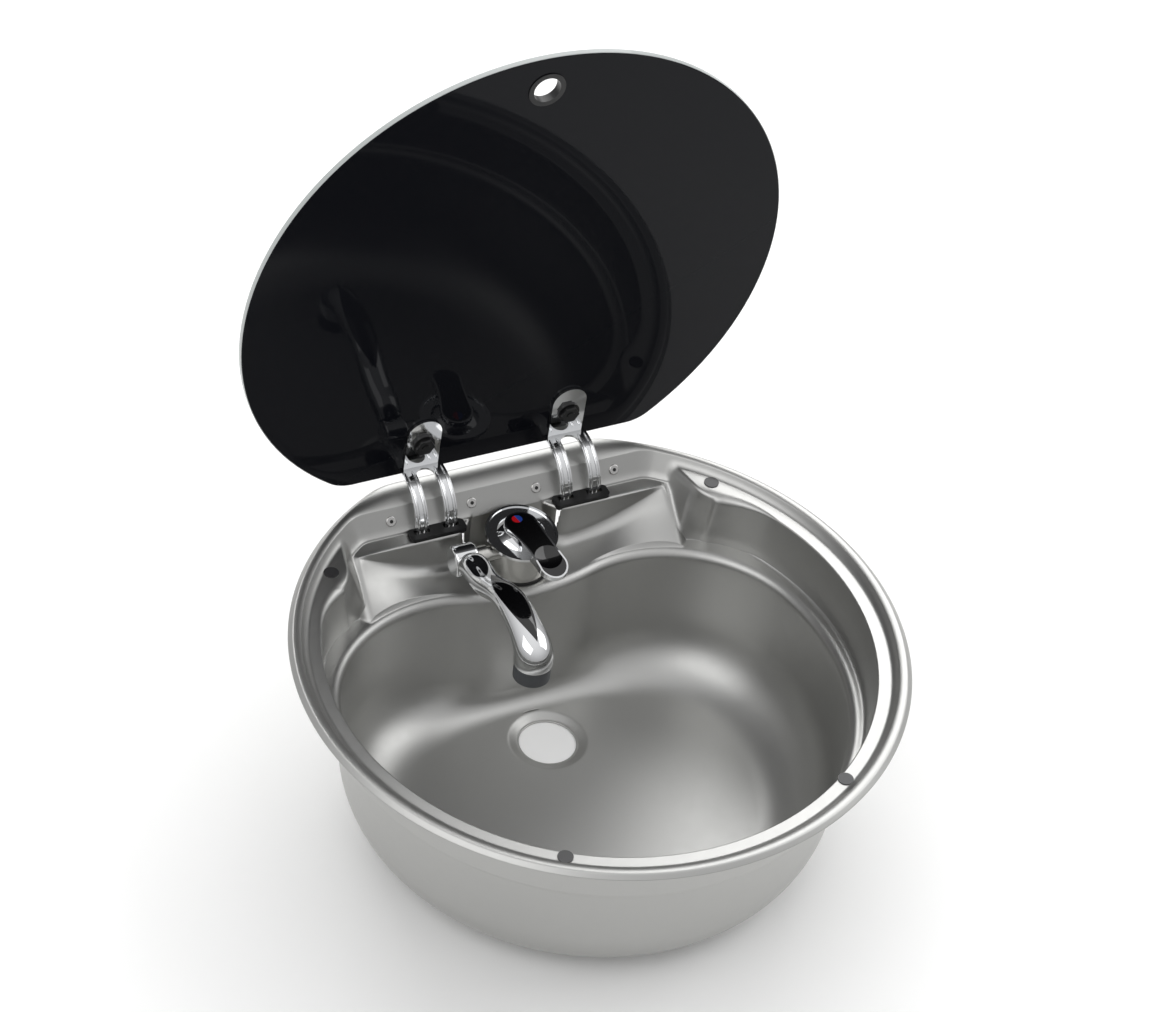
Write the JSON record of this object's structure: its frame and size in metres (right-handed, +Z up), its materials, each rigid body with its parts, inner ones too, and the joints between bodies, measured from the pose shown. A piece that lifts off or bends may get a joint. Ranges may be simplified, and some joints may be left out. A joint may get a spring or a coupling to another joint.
{
  "type": "round kitchen sink with folding glass lid and tap",
  "caption": "Round pressed steel sink for a vehicle kitchen, with a black glass lid that folds shut over a fold-down mixer tap.",
  "frame": {"origin": "centre of the round rim in the plane of the worktop, on the underside of the rim's seal", "axes": "+X to the right seen from the front, +Y to the rear where the lid's hinges are, +Z up out of the worktop"},
  "size_m": [0.4398, 0.4247, 0.5417],
  "materials": {
    "stainless_satin": "satin pressed stainless steel",
    "seal_foam": "closed-cell foam, matte",
    "bumper_rubber": "matte",
    "black_glass": "toughened glass, backed with opaque black, polished edge",
    "ring_plastic": "satin black",
    "gasket_rubber": "matte",
    "tap_satin_chrome": "satin chrome",
    "clamp_plastic": "matte black",
    "brass": "turned",
    "cartridge_plastic": "matte",
    "steel_small_parts": "turned or pressed steel",
    "chrome": "polished chrome",
    "gloss_black": "gloss black",
    "hot_red": "gloss red",
    "cold_blue": "gloss blue",
    "nozzle_grey": "satin dark grey",
    "aerator_plastic": "matte grey",
    "washer_nylon": "matte black nylon",
    "nut_black": "gloss black",
    "bezel_plastic": "matte black"
  },
  "bodies": {
    "sink": {"bowl": "stainless_satin", "rim_seal": "seal_foam", "lid_bumpers": "bumper_rubber", "tap_gasket": "gasket_rubber", "tap_body": "tap_satin_chrome", "tap_clamp_washer": "clamp_plastic", "tap_nut": "brass", "hot_inlet": "brass", "cold_inlet": "brass", "cartridge": "cartridge_plastic", "cartridge_nut": "brass", "spout_o_rings": "gasket_rubber", "slot_bezel_left": "bezel_plastic", "hinge_bracket_left": "stainless_satin", "hinge_pin_left": "steel_small_parts", "friction_washers_left": "washer_nylon", "hinge_rivets_left": "steel_small_parts", "slot_bezel_right": "bezel_plastic", "hinge_bracket_right": "stainless_satin", "hinge_pin_right": "steel_small_parts", "friction_washers_right": "washer_nylon", "hinge_rivets_right": "steel_small_parts"},
    "lid": {"lid_glass": "black_glass", "finger_ring": "ring_plastic", "hinge_strap_left": "chrome", "strap_pad_left": "bumper_rubber", "lid_bolt_left": "nut_black", "lid_washer_left": "washer_nylon", "lid_nut_left": "nut_black", "hinge_strap_right": "chrome", "strap_pad_right": "bumper_rubber", "lid_bolt_right": "nut_black", "lid_washer_right": "washer_nylon", "lid_nut_right": "nut_black"},
    "spout_arm": {"spout": "chrome", "spout_insert": "gloss_black", "spout_set_screw": "steel_small_parts", "spout_nozzle": "nozzle_grey", "aerator": "aerator_plastic"},
    "tap_spindle": {"spindle": "brass", "lever_pin": "steel_small_parts"},
    "tap_lever": {"lever": "chrome", "lever_insert": "gloss_black", "hot_mark": "hot_red", "cold_mark": "cold_blue"}
  },
  "joints": [
    {"name": "lid_hinge", "type": "hinge", "parent": "sink", "child": "lid", "pos_m": [0, 0.19, -0.0109], "axis": [1, 0, 0], "range_deg": [0, 86]},
    {"name": "spout_fold", "type": "hinge", "parent": "sink", "child": "spout_arm", "pos_m": [-0.047, 0.133, -0.0224], "axis": [1, 0, 0], "range_deg": [0, 28.7]},
    {"name": "lever_turn", "type": "hinge", "parent": "sink", "child": "tap_spindle", "pos_m": [0, 0.136, -0.0108], "axis": [0, 0, 1], "range_deg": [-36, 36]},
    {"name": "lever_lift", "type": "hinge", "parent": "tap_spindle", "child": "tap_lever", "pos_m": [0, 0.136, -0.0108], "axis": [-0.9781, -0.2079, 0], "range_deg": [0, 12]}
  ],
  "couplings": [
    {"joint": "spout_fold", "follows": "lid_hinge", "ratio": 0.33333}
  ]
}
